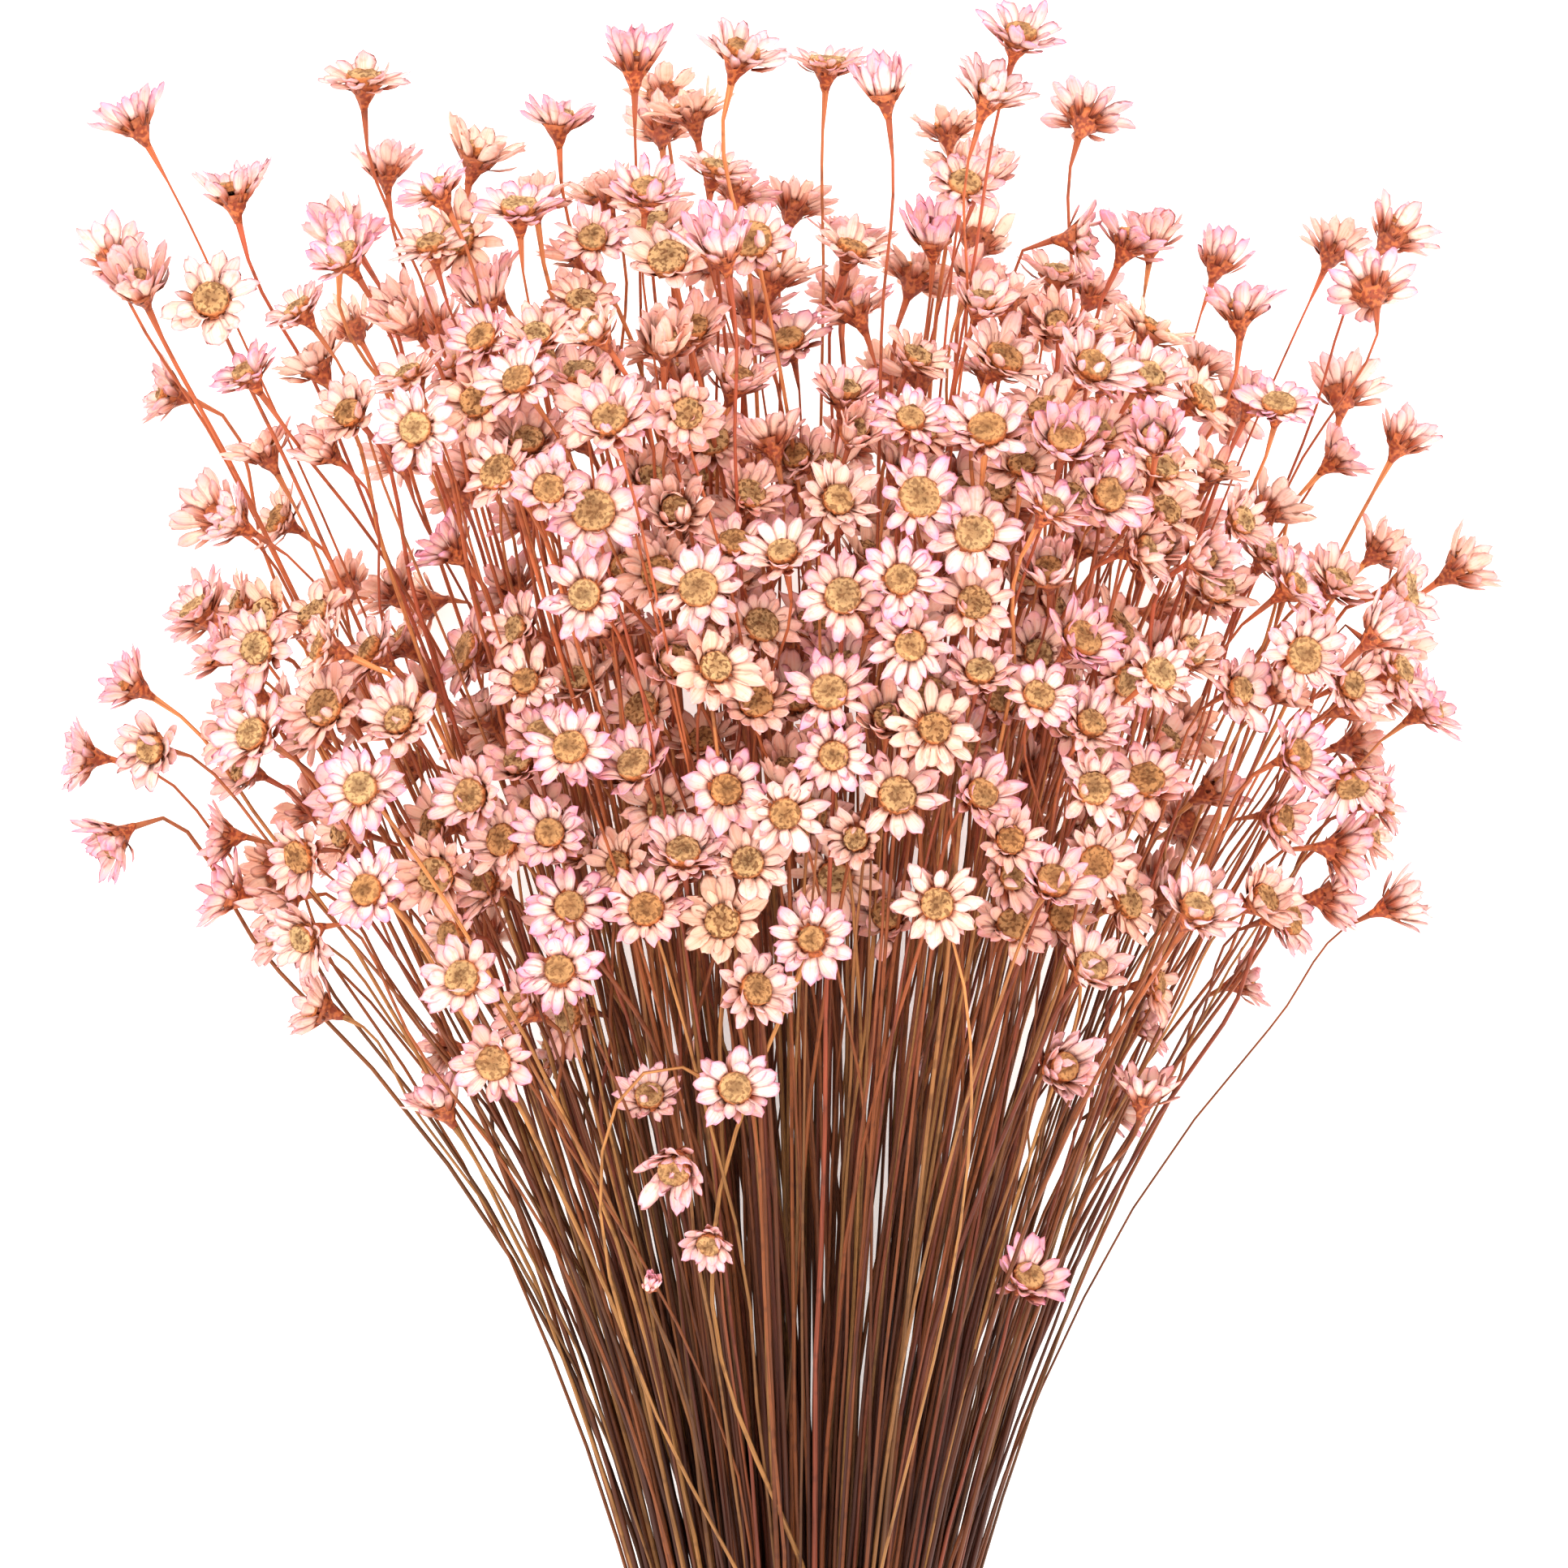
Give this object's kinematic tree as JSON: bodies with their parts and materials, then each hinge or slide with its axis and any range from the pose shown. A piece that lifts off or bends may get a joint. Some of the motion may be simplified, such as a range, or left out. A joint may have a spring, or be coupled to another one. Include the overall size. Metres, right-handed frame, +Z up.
{
  "type": "dried flower bunch",
  "caption": "Tied bunch of dried papery daisies on thin wiry stems, lying on its side and fanning out from a twine tie into a domed head of pink and cream flowers.",
  "frame": {"origin": "middle of the bunch's box across and along, on the surface it lies on", "axes": "+Y along the stems from the cut ends to the heads, +X across the fan, +Z up from the surface"},
  "size_m": [0.2248, 0.3794, 0.1493],
  "materials": {
    "petal": "dry papery bracts, cream at the foot and pink at the tips, matt",
    "disc": "golden tan florets with brown specks, rough",
    "calyx": "overlapping rust-brown scales, matt",
    "stem": "dry ridged brown stems, some golden, satin",
    "twine": "twisted natural fibre, fuzzy and matt"
  },
  "bodies": {
    "root": {"spray_01": "petal", "spray_02": "petal", "spray_03": "petal", "spray_04": "petal", "spray_05": "petal", "spray_06": "petal", "spray_07": "petal", "spray_08": "petal", "spray_09": "petal", "spray_10": "petal", "spray_11": "petal", "spray_12": "petal", "spray_13": "petal", "spray_14": "petal", "spray_15": "petal", "spray_16": "petal", "spray_17": "petal", "spray_18": "petal", "spray_19": "petal", "spray_20": "petal", "spray_21": "petal", "spray_22": "petal", "spray_23": "petal", "spray_24": "petal", "spray_25": "petal", "spray_26": "petal", "spray_27": "petal", "spray_28": "petal", "spray_29": "petal", "spray_30": "petal", "spray_31": "petal", "spray_32": "petal", "spray_33": "petal", "spray_34": "petal", "spray_35": "petal", "spray_36": "petal", "spray_37": "petal", "spray_38": "petal", "spray_39": "petal", "spray_40": "petal", "spray_41": "petal", "spray_42": "petal", "spray_43": "petal", "spray_44": "petal", "spray_45": "petal", "spray_46": "petal", "spray_47": "petal", "spray_48": "petal", "spray_49": "petal", "spray_50": "petal", "spray_51": "petal", "spray_52": "petal", "spray_53": "petal", "spray_54": "petal", "spray_55": "petal", "tie": "twine"}
  },
  "joints": []
}
